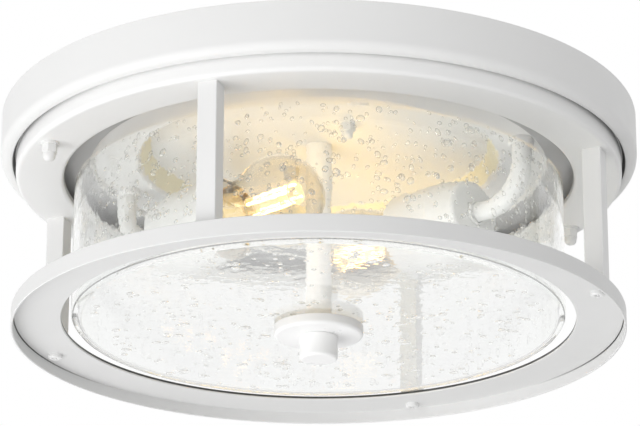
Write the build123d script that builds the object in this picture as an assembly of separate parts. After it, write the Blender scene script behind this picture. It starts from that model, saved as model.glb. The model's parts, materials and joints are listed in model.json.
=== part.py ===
"""Flush mount ceiling light: stamped canopy, cage of two rings and four posts, glass drum, two lamps.

The origin is the middle of the ceiling face, +Z points up into the ceiling, and every depth is counted
down from that face. The mounting crossbar lies along X and Y, and the posts stand on the diagonals.
"""
import os
from math import acos, atan2, cos, hypot, pi, radians, sin

from build123d import *

# Canopy: a pan of drawn steel, open to the ceiling, with a raised middle
canopy_radius = 165.0
canopy_sheet = 1.0
canopy_bend = 3.5               # inside radius of the bend round the lower rim
rim_drop = 1.0                  # lower rim below the seat of the frame ring
seat_clearance = 1.2            # between the frame ring and the step round its seat
ledge_step = 2.7                # seat of the frame ring below the ledge of the lamp arms
ledge_step_run = 0.6            # slope of that step
ledge_setback = 9.0             # edge of the ledge inside the drum's outside
ledge_width = 23.6
dish_drop = 10.5                # ledge below the raised middle
dish_slope_run = 6.0
step_bend = 0.5
dish_bend = 1.5

# Cage: two rings, four square posts
ring_setback = 8.0              # rings inside the canopy's rim
ring_height = 9.0
ring_width = 25.0
ring_sheet = 1.2
ring_bend = 1.0
ring_hem = 3.0                  # height of the rim turned up round the opening
post_width = 10.0
post_height = 73.9
post_setback = 9.0              # middle of the posts inside the rings' edge
post_edge = 0.6
flange_width = 25.4
hoop_height = 9.0
hoop_rise = 2.7                 # hoop above the flange's underside
hoop_edge = 0.5

# Glass drum, finial and stem
shade_clearance = 5.0           # between the drum and the flange round it
shade_wall = 3.0
shade_base = 3.5
shade_rim_gap = 1.0             # top of the drum's rim below the frame ring
shade_corner = 4.0              # outside radius between wall and bottom
shade_inner_corner = 2.5
shade_below_flange = 0.2        # bottom of the drum below the flange's underside
shade_hole = 5.5
gasket_thickness = 1.0
gasket_radius = 11.0
plate_radius = 22.9
plate_thickness = 5.7
plate_edge = 1.8
knob_radius = 9.8
knob_height = 12.3
knob_edge = 1.5
stem_radius = 6.7
stem_upper_length = 31.0
stem_edge = 0.6
rod_radius = 4.0
rod_in_knob = 8.3
knob_hole_spare = 0.7           # hole left below the rod's end

# Lamp arms and sockets, along the lamp axis
arm_setback = 8.1               # arms inside the edge of their ledge
arm_angle = 45.0                # where the first arm stands, the second is opposite
arm_swing = 22.5                # lamp axis turned off the line to the stem
arm_drop = 33.0                 # lamp axis below the ledge
arm_radius = 5.0
arm_wall = 1.0
arm_bend = 22.0
arm_above_ledge = 7.0
collar_radius = 7.0
collar_height = 4.0
collar_edge = 1.2
cup_start = 30.7                # rear face of the socket cup from the arm's own axis
cup_rear_radius = 17.5
cup_flare = 2.9                 # mouth's radius over the rear's
cup_flare_length = 17.0
cup_length = 45.3
cup_sheet = 1.0
cup_bend = 2.0
cup_collar_wall = 1.1
cup_collar_length = 2.0
holder_shoulder = 12.3          # rear boss of the lampholder, from its seat to its shoulder
holder_boss_radius = 13.5
holder_setback = 1.5            # lampholder's rim inside the mouth of the cup
holder_floor = 14.3
shell_wall = 0.6
shell_setback = 1.0
contact_radius = 4.0
contact_height = 1.7

# Bulb: medium screw cap, round envelope, four upright filaments
cap_radius = 13.1
cap_tip_radius = 4.5
cap_tip_height = 1.5
cap_cone = 4.0
cap_length = 31.0
cap_skirt = 4.0
cap_skirt_flare = 1.3
cap_wall = 0.6
bulb_radius = 22.5
bulb_reach = 62.0               # globe's middle from the cap's tip
bulb_wall = 0.8
neck_inset = 3.0                # neck of the envelope inside the skirt
mount_flare_height = 9.0
mount_rod_radius = 2.0
spider_thickness = 0.8
spider_radius = 6.2
filament_radius = 0.9
filament_circle_radius = 5.0
filament_length = 28.7
filament_count = 4
filament_start = 15.0           # lower spider from the neck's end

# Crossbar and fasteners
crossbar_thickness = 1.6
crossbar_width = 18.0
crossbar_corner = 6.0
crossbar_margin = 8.0           # strap beyond the last hole
crossbar_room = 1.0             # between the strap and the rod's end below it
box_screw_spacing = 79.4
box_slot_length = 15.0
box_slot_radius = 2.4
canopy_screw_spacing = 69.9
screw_radius = 2.0
screw_hole_clearance = 0.3
ground_screw_place = 22.0
pan_head_radius = 3.6
pan_head_height = 2.2
pan_head_edge = 1.0
screw_in_post = 10.0
small_nut_width = 7.0
small_nut_height = 3.0
cap_nut_height = 8.6
cap_nut_hex = 4.4
cap_nut_dome_radius = 3.2
cap_nut_round = 2.6
cap_nut_spare = 2.0             # cap above the end of its screw
stud_setback = 8.5              # middle of the studs inside the rings' edge
stud_head_radius = 4.5
stud_head_height = 1.6
washer_radius = 4.8
washer_thickness = 1.0
rod_nut_width = 13.0
rod_nut_height = 5.0
rod_washer_radius = 9.0
rod_washer_thickness = 1.4
rod_above_nut = 1.0
arm_nut_width = 14.0
arm_nut_height = 4.0

# Fits
thread_clearance = 0.05         # a screw in its own thread
running_clearance = 0.06        # the knob and the plate on the rod
slip_clearance = 0.2            # pieces that slip over or into one another
touch_gap = 0.3                 # between pieces that move apart


def bent_sheet(points, bends, thickness):
    """Section of a bent sheet: one skin through the points, the other to their right, with inside radii."""
    skin = [Vector(*p) for p in points]
    runs = [(b - a).normalized() for a, b in zip(skin, skin[1:])]
    sides = [Vector(d.Y, -d.X) for d in runs]
    mitres = [(a + b) * (thickness / (1 + a.dot(b))) for a, b in zip(sides, sides[1:])]
    shifts = [sides[0] * thickness] + mitres + [sides[-1] * thickness]
    back = [p + s for p, s in zip(skin, shifts)]
    to_right = [a.cross(b).Z < 0 for a, b in zip(runs, runs[1:])]
    skin_radii = [r + thickness if right else r for r, right in zip(bends, to_right)]
    back_radii = [r if right else r + thickness for r, right in zip(bends, to_right)]
    front_line = FilletPolyline(*skin, radius=skin_radii)
    back_line = FilletPolyline(*back, radius=back_radii)
    ends = [Line(front_line @ 0, back_line @ 0), Line(front_line @ 1, back_line @ 1)]
    return make_face([front_line, back_line, *ends])


def turned(section):
    """A section drawn as radius and height, turned about Z."""
    return revolve(Plane.XZ * section, Axis.Z)


def turned_along_x(section):
    """A section drawn as distance along the lamp axis and radius, turned about X."""
    return revolve(section, Axis.X)


def rod(radius, top, bottom):
    """Upright round bar between two depths below the ceiling."""
    middle = -(top + bottom) / 2
    return Pos(0, 0, middle) * Cylinder(radius, bottom - top)


def washer(radius, hole, top, bottom):
    return rod(radius, top, bottom) - rod(hole, top, bottom)


def hex_bar(width, top, bottom):
    """Upright hexagon bar, its width measured across the flats."""
    hexagon = RegularPolygon(width / 2, 6, major_radius=False)
    return Pos(0, 0, -bottom) * extrude(hexagon, bottom - top)


def hex_nut(width, hole, top, bottom):
    return hex_bar(width, top, bottom) - rod(hole, top, bottom)


def pan_screw(length):
    """Pan head screw with its seat at the origin, head up."""
    head = rod(pan_head_radius, -pan_head_height, 0)
    head = fillet(head.edges().group_by(Axis.Z)[-1], pan_head_edge)
    return head + rod(screw_radius, 0, length)


def cap_nut(screw_end):
    """Hexagon cap nut hung from the origin, bored for a screw that reaches the given depth."""
    dome = rod(cap_nut_dome_radius, cap_nut_hex, cap_nut_height)
    dome = fillet(dome.edges().group_by(Axis.Z)[0], cap_nut_round)
    nut = hex_bar(small_nut_width, 0, cap_nut_hex) + dome
    return nut - rod(screw_radius + thread_clearance, 0, screw_end + touch_gap)


def polar(radius, angle):
    return Pos(radius * cos(radians(angle)), radius * sin(radians(angle)), 0)


def around(part, radius, angles):
    """Copies of one part on a circle, each turned to face out, as a group of separate solids."""
    return Compound(children=[polar(radius, a) * Rot(0, 0, a) * part for a in angles])


post_angles = [45, 135, 225, 315]
stud_angles = [90, 270]
screw_angles = [0, 180]

# Radii that follow from the driving sizes, from the rim inwards
ring_radius = canopy_radius - ring_setback
ring_opening = ring_radius - ring_width
post_circle_radius = ring_radius - post_setback
stud_circle_radius = ring_radius - stud_setback
flange_opening = ring_radius - flange_width
shade_radius = flange_opening - shade_clearance
ledge_radius = shade_radius - ledge_setback
dish_foot_radius = ledge_radius - ledge_width
dish_head_radius = dish_foot_radius - dish_slope_run
arm_circle_radius = ledge_radius - arm_setback
arm_bore = arm_radius - arm_wall
cup_radius = cup_rear_radius + cup_flare
cup_collar_radius = arm_radius + slip_clearance + cup_collar_wall
shell_radius = cap_radius + touch_gap + slip_clearance + shell_wall + slip_clearance / 2
screw_hole = screw_radius + screw_hole_clearance
rod_hole = rod_radius + slip_clearance

# Depths that follow from the driving sizes, from the ceiling down
rod_top = crossbar_thickness + crossbar_room
rod_nut_seat = rod_top + rod_above_nut + rod_nut_height
dish_top = rod_nut_seat + rod_washer_thickness
dish_depth = dish_top + canopy_sheet
ledge_depth = dish_depth + dish_drop
seat_depth = ledge_depth + ledge_step
canopy_depth = seat_depth + rim_drop
ledge_top = ledge_depth - canopy_sheet
seat_top = seat_depth - canopy_sheet
lamp_depth = ledge_depth + arm_drop
ring_depth = seat_depth + ring_height
ring_top = ring_depth - ring_sheet
flange_top = ring_depth + post_height
flange_depth = flange_top + ring_sheet
shade_rim_depth = ring_depth + shade_rim_gap + shade_wall / 2
shade_depth = flange_depth + shade_below_flange
shade_floor = shade_depth - shade_base
stem_joint = dish_depth + stem_upper_length
stem_end = shade_floor - gasket_thickness
plate_top = shade_depth + gasket_thickness
knob_top = plate_top + plate_thickness
knob_end = knob_top + knob_height
rod_end = knob_top + rod_in_knob


def make_canopy():
    seat_edge = ring_radius + seat_clearance
    skin = [
        (canopy_radius, 0),
        (canopy_radius, -canopy_depth),
        (seat_edge + rim_drop, -canopy_depth),
        (seat_edge, -seat_depth),
        (ledge_radius + ledge_step_run / 2, -seat_depth),
        (ledge_radius - ledge_step_run / 2, -ledge_depth),
        (dish_foot_radius, -ledge_depth),
        (dish_head_radius, -dish_depth),
        (rod_hole, -dish_depth),
    ]
    bends = [canopy_bend, 0, 0, step_bend, step_bend, dish_bend, dish_bend]
    pan = turned(bent_sheet(skin, bends, canopy_sheet))
    through = rod(screw_hole, 0, canopy_depth)
    pan -= around(through, canopy_screw_spacing / 2, screw_angles)
    pan -= around(through, stud_circle_radius, stud_angles)
    arm_hole = rod(arm_radius + slip_clearance, 0, canopy_depth)
    return pan - around(arm_hole, arm_circle_radius, [arm_angle, arm_angle + 180])


def make_crossbar():
    screw_arm = canopy_screw_spacing + 2 * crossbar_margin
    slot_arm = box_screw_spacing + box_slot_length + crossbar_margin
    plate = RectangleRounded(screw_arm, crossbar_width, crossbar_corner)
    plate += RectangleRounded(crossbar_width, slot_arm, crossbar_corner)
    slot = Rot(0, 0, 90) * SlotOverall(box_slot_length, 2 * box_slot_radius)
    for side in (-1, 1):
        plate -= Pos(0, side * box_screw_spacing / 2) * slot
        plate -= Pos(side * canopy_screw_spacing / 2, 0) * Circle(screw_radius + thread_clearance)
    plate -= Pos(ground_screw_place, 0) * Circle(screw_radius + thread_clearance)
    return extrude(plate, -crossbar_thickness)


def make_fasteners():
    screw_end = dish_depth + cap_nut_height - cap_nut_spare
    jam_nut = hex_nut(small_nut_width, screw_radius + thread_clearance,
                      crossbar_thickness, crossbar_thickness + small_nut_height)
    screw_place = canopy_screw_spacing / 2
    nut_seat = ring_depth + washer_thickness
    stud_end = nut_seat + cap_nut_height - cap_nut_spare
    stud = rod(stud_head_radius, seat_top - stud_head_height, seat_top)
    stud += rod(screw_radius, seat_top, stud_end)
    flat_washer = washer(washer_radius, screw_radius + slip_clearance, ring_depth, nut_seat)
    head_down = Rot(180, 0, 0)
    ground = head_down * pan_screw(crossbar_thickness - slip_clearance)
    upper_screw = Pos(0, 0, -ring_top) * pan_screw(ring_sheet + screw_in_post)
    lower_screw = Pos(0, 0, -flange_depth) * head_down * pan_screw(ring_sheet + screw_in_post)
    canopy_nut = Pos(0, 0, -dish_depth) * cap_nut(screw_end - dish_depth)
    frame_nut = Pos(0, 0, -nut_seat) * cap_nut(stud_end - nut_seat)
    return {
        "canopy_screws": around(rod(screw_radius, slip_clearance, screw_end), screw_place, screw_angles),
        "crossbar_jam_nuts": around(jam_nut, screw_place, screw_angles),
        "canopy_cap_nuts": around(canopy_nut, screw_place, screw_angles),
        "ground_screw": Pos(ground_screw_place, 0, -crossbar_thickness) * ground,
        "frame_studs": around(stud, stud_circle_radius, stud_angles),
        "frame_washers": around(flat_washer, stud_circle_radius, stud_angles),
        "frame_cap_nuts": around(frame_nut, stud_circle_radius, stud_angles),
        "post_screws_upper": around(upper_screw, post_circle_radius, post_angles),
        "post_screws_lower": around(lower_screw, post_circle_radius, post_angles),
    }


def make_frame_ring():
    skin = [
        (ring_radius, -seat_depth),
        (ring_radius, -ring_depth),
        (ring_opening, -ring_depth),
        (ring_opening, -ring_depth + ring_hem),
    ]
    ring = turned(bent_sheet(skin, [ring_bend, ring_bend], ring_sheet))
    through = rod(screw_hole, seat_depth, ring_depth)
    ring -= around(through, post_circle_radius, post_angles)
    return ring - around(through, stud_circle_radius, stud_angles)


def make_bottom_ring():
    hoop_top = hoop_rise - flange_depth
    inside = ring_radius - ring_sheet
    hoop = Pos((ring_radius + inside) / 2, hoop_top - hoop_height / 2) * RectangleRounded(
        ring_sheet, hoop_height, hoop_edge)
    middle = (flange_opening + inside + ring_sheet / 2) / 2
    flange = Pos(middle, -flange_depth + ring_sheet / 2) * Rectangle(
        inside + ring_sheet / 2 - flange_opening, ring_sheet)
    through = rod(screw_hole, flange_top, flange_depth)
    return turned(hoop + flange) - around(through, post_circle_radius, post_angles)


def make_post(angle):
    height = flange_top - ring_depth
    bar = Pos(0, 0, -flange_top) * extrude(RectangleRounded(post_width, post_width, post_edge), height)
    tapped = screw_radius + thread_clearance
    bar -= rod(tapped, ring_depth, ring_depth + screw_in_post + touch_gap)
    bar -= rod(tapped, flange_top - screw_in_post - touch_gap, flange_top)
    return polar(post_circle_radius, angle) * Rot(0, 0, angle) * bar


def make_stem():
    bore = rod_radius + touch_gap
    upper = rod(stem_radius, dish_depth, stem_joint)
    upper = fillet(upper.edges().group_by(Axis.Z)[0], stem_edge)
    lower = rod(stem_radius, stem_joint, stem_end)
    lower = fillet(lower.edges().group_by(Axis.Z)[-1], stem_edge)
    nut_top = rod_top + rod_above_nut
    return {
        "stem_upper": upper - rod(bore, dish_depth, stem_joint),
        "stem_lower": lower - rod(bore, stem_joint, stem_end),
        "threaded_rod": rod(rod_radius, rod_top, rod_end),
        "rod_washer": washer(rod_washer_radius, rod_hole, rod_nut_seat, dish_top),
        "rod_nut": hex_nut(rod_nut_width, rod_radius + thread_clearance, nut_top, rod_nut_seat),
        "shade_gasket_upper": washer(gasket_radius, rod_radius + touch_gap, stem_end, shade_floor),
    }


def make_shade():
    outer = [
        (shade_radius, -shade_rim_depth),
        (shade_radius, -shade_depth),
        (shade_hole, -shade_depth),
    ]
    inner = [
        (shade_hole, -shade_floor),
        (shade_radius - shade_wall, -shade_floor),
        (shade_radius - shade_wall, -shade_rim_depth),
    ]
    outside = FilletPolyline(*outer, radius=shade_corner)
    inside = FilletPolyline(*inner, radius=shade_inner_corner)
    rim_top = (shade_radius - shade_wall / 2, -shade_rim_depth + shade_wall / 2)
    rim = ThreePointArc(outside @ 0, rim_top, inside @ 1)
    return turned(make_face([outside, inside, rim, Line(outside @ 1, inside @ 0)]))


def make_finial():
    plate = rod(plate_radius, plate_top, knob_top)
    plate = fillet(plate.edges().group_by(Axis.Z)[0], plate_edge)
    knob = rod(knob_radius, knob_top, knob_end)
    knob = fillet(knob.edges().group_by(Axis.Z)[0], knob_edge)
    return {
        "shade_gasket_lower": washer(gasket_radius, rod_radius + touch_gap, shade_depth, plate_top),
        "finial_plate": plate - rod(rod_radius + running_clearance, plate_top, knob_top),
        "finial_knob": knob - rod(rod_radius + running_clearance, knob_top, rod_end + knob_hole_spare),
    }


def ring_section(start, end, inside, outside):
    """Rectangle in a section along the lamp axis, between two distances and two radii."""
    return Pos((start + end) / 2, (inside + outside) / 2) * Rectangle(end - start, outside - inside)


def hex_along_x(width, hole, start, end):
    bar = Plane.YZ * (RegularPolygon(width / 2, 6, major_radius=False) - Circle(hole))
    return Pos(start, 0, 0) * extrude(bar, end - start)


def make_arm():
    """Bent tube from above the canopy's ledge to inside the socket cup."""
    tip = cup_start + cup_sheet + arm_nut_height
    route = FilletPolyline(
        (0, 0, arm_above_ledge - ledge_top),
        (0, 0, -lamp_depth),
        (tip, 0, -lamp_depth),
        radius=arm_bend,
    )
    ring = Plane(route @ 0, z_dir=route % 0) * (Circle(arm_radius) - Circle(arm_bore))
    return sweep(ring, route)


def make_collar():
    collar = rod(collar_radius, ledge_depth, ledge_depth + collar_height)
    collar = fillet(collar.edges().group_by(Axis.Z)[0], collar_edge)
    return collar - rod(arm_radius + slip_clearance, ledge_depth, ledge_depth + collar_height)


def make_socket():
    """Socket pieces along the lamp axis, here X: cup, its fixings, lampholder, shell and contact."""
    arm_hole = arm_radius + slip_clearance
    cup_end = cup_start + cup_length
    skin = [
        (cup_start, arm_hole),
        (cup_start, cup_rear_radius),
        (cup_start + cup_flare_length, cup_radius),
        (cup_end, cup_radius),
    ]
    nut_start = cup_start + cup_sheet
    seat = nut_start + arm_nut_height
    shoulder = seat + holder_shoulder
    rim = cup_end - holder_setback
    floor = seat + holder_floor
    holder_radius = cup_radius - cup_sheet - slip_clearance
    bore = shell_radius + slip_clearance / 2
    boss = ring_section(seat, floor, 0, holder_boss_radius)
    body = ring_section(shoulder, rim, 0, holder_radius)
    holder = boss + body - ring_section(floor, rim, 0, bore)
    shell = ring_section(floor, rim - shell_setback, shell_radius - shell_wall, shell_radius)
    contact = ring_section(floor, floor + contact_height, 0, contact_radius)
    collar = ring_section(cup_start - cup_collar_length, cup_start, arm_hole, cup_collar_radius)
    return {
        "socket_cup": turned_along_x(bent_sheet(skin, [cup_bend, cup_bend], cup_sheet)),
        "cup_collars": turned_along_x(collar),
        "socket_nuts": hex_along_x(arm_nut_width, arm_radius + thread_clearance, nut_start, seat),
        "lampholder": turned_along_x(holder),
        "screw_shell": turned_along_x(shell),
        "centre_contact": turned_along_x(contact),
    }


def bulb_section(tip, neck_end, inset):
    """Half section of the envelope, drawn in by inset: a globe and a cone that runs from it to the neck."""
    middle = tip + bulb_reach
    radius = bulb_radius - inset
    neck = cap_radius - cap_wall - slip_clearance - inset
    away = hypot(middle - neck_end, neck)
    angle = pi - atan2(neck, middle - neck_end) - acos(radius / away)
    meet = Vector(middle + radius * cos(angle), radius * sin(angle))
    half = angle / 2
    top = Vector(middle + radius * cos(half), radius * sin(half))
    nose = Vector(middle + radius, 0)
    cone = Polyline((neck_end, 0), (neck_end, neck), meet)
    globe = ThreePointArc(meet, top, nose)
    return make_face([cone, globe, Line(nose, (neck_end, 0))])


def make_bulb():
    """Bulb along the lamp axis: its cap's tip stands just clear of the centre contact."""
    tip = cup_start + cup_sheet + arm_nut_height + holder_floor + contact_height + touch_gap
    body = tip + cap_tip_height + cap_cone
    mouth = tip + cap_length
    skirt = mouth - cap_skirt
    neck_end = mouth - neck_inset
    outline = Polyline(
        (tip, 0),
        (tip, cap_tip_radius),
        (tip + cap_tip_height, cap_tip_radius),
        (body, cap_radius),
        (skirt, cap_radius),
        (mouth, cap_radius + cap_skirt_flare),
        (mouth, cap_radius + cap_skirt_flare - cap_wall),
        (skirt, cap_radius - cap_wall),
        (body, cap_radius - cap_wall),
        (tip + cap_tip_height + cap_wall, 0),
        close=True,
    )
    cap = turned_along_x(make_face(outline))
    hollow = turned_along_x(bulb_section(tip, neck_end, bulb_wall))
    envelope = turned_along_x(bulb_section(tip, neck_end, 0)) - hollow
    neck_bore = cap_radius - cap_wall - slip_clearance - bulb_wall
    flare_top = neck_end + mount_flare_height
    low = neck_end + filament_start
    high = low + filament_length
    flare = Polyline(
        (neck_end, 0),
        (neck_end, neck_bore - slip_clearance),
        (flare_top, mount_rod_radius),
        (flare_top, 0),
        close=True,
    )
    stand = make_face(flare) + ring_section(flare_top, high + spider_thickness, 0, mount_rod_radius)
    stand += ring_section(low - spider_thickness, low, 0, spider_radius)
    stand += ring_section(high, high + spider_thickness, 0, spider_radius)
    stick = Pos(low, 0, 0) * extrude(Plane.YZ * Circle(filament_radius), filament_length)
    turns = [360 * k / filament_count for k in range(filament_count)]
    sticks = [Rot(a, 0, 0) * Pos(0, filament_circle_radius, 0) * stick for a in turns]
    return {
        "bulb_cap": cap,
        "bulb_envelope": envelope,
        "filament_mount": turned_along_x(stand),
        "filaments": Compound(children=sticks),
    }


def make_lamps():
    """Both lamps: the arm's own frame has the arm upright through its origin and the lamp axis along X."""
    nut = hex_nut(arm_nut_width, arm_radius + thread_clearance, ledge_top - arm_nut_height, ledge_top)
    upright = {"lamp_arm": make_arm(), "arm_collars": make_collar(), "arm_locknuts": nut}
    on_axis = {**make_socket(), **make_bulb()}
    lowered = {name: Pos(0, 0, -lamp_depth) * piece for name, piece in on_axis.items()}
    fixings = ["arm_collars", "arm_locknuts", "cup_collars", "socket_nuts"]
    places = {}
    for side, angle in (("right", arm_angle), ("left", arm_angle + 180)):
        places[side] = polar(arm_circle_radius, angle) * Rot(0, 0, angle + 180 - arm_swing)
    lamps = {}
    for name, piece in {**upright, **lowered}.items():
        pair = {f"{name}_{side}": place * piece for side, place in places.items()}
        if name in fixings:
            lamps[name] = Compound(children=list(pair.values()))
        else:
            lamps.update(pair)
    return lamps


def make_light():
    nodes = {
        "canopy": make_canopy(),
        "mounting_crossbar": make_crossbar(),
        "frame_ring": make_frame_ring(),
        "bottom_ring": make_bottom_ring(),
        "glass_shade": make_shade(),
    }
    post_names = ["post_right", "post_back", "post_left", "post_front"]
    for name, angle in zip(post_names, post_angles):
        nodes[name] = make_post(angle)
    for group in (make_fasteners(), make_stem(), make_finial(), make_lamps()):
        nodes.update(group)
    return nodes


def main():
    os.makedirs("parts", exist_ok=True)
    for name, shape in make_light().items():
        export_step(shape, f"parts/{name}.step")


main()
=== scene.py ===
# %% [markdown]
# # A flush mount ceiling light, dressed for a portrait
# The light hangs flat against a ceiling: a stamped white pan, a cage of two rings and four posts, and a
# drum of seeded glass with two lit bulbs inside. The solid model already gives every piece its place.
# This lesson loads it, turns smooth surfaces for the round pieces, and gives each piece its finish.

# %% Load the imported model
import json

import bmesh
import bpy
import numpy as np
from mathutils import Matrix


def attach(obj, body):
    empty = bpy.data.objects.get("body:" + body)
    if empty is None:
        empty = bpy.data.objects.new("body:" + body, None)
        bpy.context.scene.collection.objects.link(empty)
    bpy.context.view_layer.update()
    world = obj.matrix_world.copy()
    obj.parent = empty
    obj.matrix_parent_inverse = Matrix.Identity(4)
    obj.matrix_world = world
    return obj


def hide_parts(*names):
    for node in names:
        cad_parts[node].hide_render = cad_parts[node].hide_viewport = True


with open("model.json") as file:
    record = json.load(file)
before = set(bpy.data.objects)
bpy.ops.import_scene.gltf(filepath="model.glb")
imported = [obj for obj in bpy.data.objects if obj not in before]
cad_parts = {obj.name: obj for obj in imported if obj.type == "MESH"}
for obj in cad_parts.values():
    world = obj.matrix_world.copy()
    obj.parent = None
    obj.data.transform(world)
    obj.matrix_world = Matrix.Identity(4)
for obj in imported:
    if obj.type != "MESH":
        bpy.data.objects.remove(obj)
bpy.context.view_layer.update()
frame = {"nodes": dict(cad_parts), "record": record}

mm = 0.001

# %% [markdown]
# ## The camera
# The portrait was taken from below with a long lens. The fit of its ellipses gives the distance from the
# axis, the drop below the ceiling and the tilt, so the camera can be set by numbers and not by eye.
# Small turns are applied to three arrows, right, up and forward, and those arrows are the camera's axes.

# %% Camera from the fitted view
view_angle = np.radians(-24.5)
view_distance = 1.5930
view_drop = 0.6366
tilt_up, roll, pan = np.radians([20.294, -0.094, 0.0225])
image_width = 640
focal_pixels = 3277.9

towards_camera = np.array([np.cos(view_angle), np.sin(view_angle), 0.0])
away = -towards_camera
rightward = np.cross(away, [0.0, 0.0, 1.0])


def to_room(arrow):
    """Arrow of the level view (right, away, up), tilted about right, panned about up, in the room."""
    x, y, z = arrow
    y, z = np.cos(tilt_up) * y - np.sin(tilt_up) * z, np.sin(tilt_up) * y + np.cos(tilt_up) * z
    x, y = np.cos(pan) * x + np.sin(pan) * y, -np.sin(pan) * x + np.cos(pan) * y
    return x * rightward + y * away + z * np.array([0.0, 0.0, 1.0])


axes = np.eye(4)
axes[:3, 0] = to_room((np.cos(roll), 0, -np.sin(roll)))
axes[:3, 1] = to_room((np.sin(roll), 0, np.cos(roll)))
axes[:3, 2] = -to_room((0, 1, 0))
axes[:3, 3] = view_distance * towards_camera - np.array([0, 0, view_drop])

lens = bpy.data.cameras.new("portrait_camera")
lens.sensor_width = 36.0
lens.sensor_fit = "HORIZONTAL"
lens.lens = focal_pixels / image_width * lens.sensor_width
camera = bpy.data.objects.new("portrait_camera", lens)
camera.matrix_world = axes.T
bpy.context.scene.collection.objects.link(camera)
bpy.context.scene.camera = camera
print("camera at", np.round(axes[:3, 3], 4).tolist(), "lens", round(lens.lens, 2), "mm")

# %% [markdown]
# ## Surfaces from sections
# Nearly every piece is turned: a closed section carried round an axis. A section starts as a few corner
# points, each with its own rounding, and a sheet is a line of points with a thickness. Two extra points
# hold each straight stretch close to its ends. Without them the soft shading of the corners would bleed
# along the whole stretch, and flat glass would bend the view like a lens.
# Working on whole arrays keeps this short: one function rounds all corners at once, one carries a section
# round an axis, and one puts the finished grid into a mesh.

# %% Rounded sections
tiny, same_point = 1e-9, 1e-7
most_held = 0.3         # of a straight stretch, at each end


def rounded(points, radii, steps=7, hold=0.4):
    """Closed outline with every corner swapped for an arc, and each straight stretch held near its ends."""
    p = np.asarray(points, float)
    r = np.broadcast_to(np.asarray(radii, float), len(p))[:, None]
    to_last = np.roll(p, 1, axis=0) - p
    to_next = np.roll(p, -1, axis=0) - p
    to_last /= np.linalg.norm(to_last, axis=1, keepdims=True)
    to_next /= np.linalg.norm(to_next, axis=1, keepdims=True)
    half = np.arccos(np.clip((to_last * to_next).sum(1, keepdims=True), -1, 1)) / 2
    middle = to_last + to_next
    middle /= np.maximum(np.linalg.norm(middle, axis=1, keepdims=True), tiny)
    centre = p + middle * r / np.sin(half)
    first = p + to_last * r / np.tan(half) - centre
    turn = np.sign(to_next[:, :1] * to_last[:, 1:] - to_next[:, 1:] * to_last[:, :1])
    sweep = turn * (np.pi - 2 * half) * np.linspace(0, 1, steps)
    x = first[:, :1] * np.cos(sweep) - first[:, 1:] * np.sin(sweep)
    y = first[:, :1] * np.sin(sweep) + first[:, 1:] * np.cos(sweep)
    arcs = np.stack([x, y], axis=2) + centre[:, None]
    end = arcs[:, -1:]
    stretch = np.roll(arcs[:, :1], -1, axis=0) - end
    length = np.linalg.norm(stretch, axis=2, keepdims=True)
    share = np.minimum(most_held, hold / np.maximum(length, tiny))
    loop = np.concatenate([arcs, end + stretch * share, end + stretch * (1 - share)], axis=1).reshape(-1, 2)
    keep = np.linalg.norm(loop - np.roll(loop, 1, axis=0), axis=1) > same_point
    return loop[keep]


print("a square with rounded corners has", len(rounded([(0, 0), (1, 0), (1, 1), (0, 1)], 0.1)), "points")


# %% Bent sheets
def sheet_section(points, bends, thickness, edge=0.0):
    """Closed section of a bent sheet: a line of points, and that line moved right by the thickness."""
    p = np.asarray(points, float)
    run = np.diff(p, axis=0)
    run /= np.linalg.norm(run, axis=1, keepdims=True)
    side = np.stack([run[:, 1], -run[:, 0]], axis=1)
    mitre = side[:-1] + side[1:]
    mitre *= thickness / (1 + (side[:-1] * side[1:]).sum(1, keepdims=True))
    back = p + np.concatenate([side[:1] * thickness, mitre, side[-1:] * thickness])
    right_turn = run[:-1, 0] * run[1:, 1] - run[:-1, 1] * run[1:, 0] < 0
    inside = np.asarray(bends, float)
    front_radii = np.where(right_turn, inside + thickness, inside)
    back_radii = np.where(right_turn, inside, inside + thickness)
    radii = np.concatenate([[edge], front_radii, [edge], [edge], back_radii[::-1], [edge]])
    return rounded(np.concatenate([p, back[::-1]]), radii)


print("a sheet with one bend has", len(sheet_section([(0, 0), (5, 0), (5, 5)], [1.0], 1.0)), "points")


# %% Grids and turned surfaces
def grid_faces(rows, columns, close_rows, close_columns):
    """Corner numbers of every quad of a grid, its last row or column joined to the first where asked."""
    i = np.arange(rows if close_rows else rows - 1)[:, None]
    j = np.arange(columns if close_columns else columns - 1)[None, :]
    below, beside = (i + 1) % rows, (j + 1) % columns
    corners = [i * columns + j, i * columns + beside, below * columns + beside, below * columns + j]
    return np.stack(np.broadcast_arrays(*corners), axis=2).reshape(-1, 4)


def turned(section, turns=160, origin=(0, 0, 0), axis=(0, 0, 1), side=(1, 0, 0), closed=True):
    """Section of (radius, height) round an axis: origin + height axis + radius (cos, sin) across it."""
    axis, side = np.asarray(axis, float), np.asarray(side, float)
    across = np.cross(axis, side)
    angle = np.linspace(0, 2 * np.pi, turns, endpoint=False)
    spoke = np.cos(angle)[:, None] * side + np.sin(angle)[:, None] * across
    s = np.asarray(section, float)
    points = np.asarray(origin) + s[:, 1, None, None] * axis + s[:, 0, None, None] * spoke
    return points.reshape(-1, 3), grid_faces(len(s), turns, closed, True)


def joined(*shapes):
    """Several (points, faces) shapes as one, with the face numbers moved on."""
    starts = np.cumsum([0] + [len(points) for points, _ in shapes[:-1]])
    return (np.concatenate([points for points, _ in shapes]),
            np.concatenate([faces + start for (_, faces), start in zip(shapes, starts)]))


bead = turned([(1, 0), (2, 0), (2, 1), (1, 1)], 8)
print("a square turned in 8 steps has", len(bead[1]), "faces")

# %% Pieces
merge_reach = 1e-6      # metres


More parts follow.
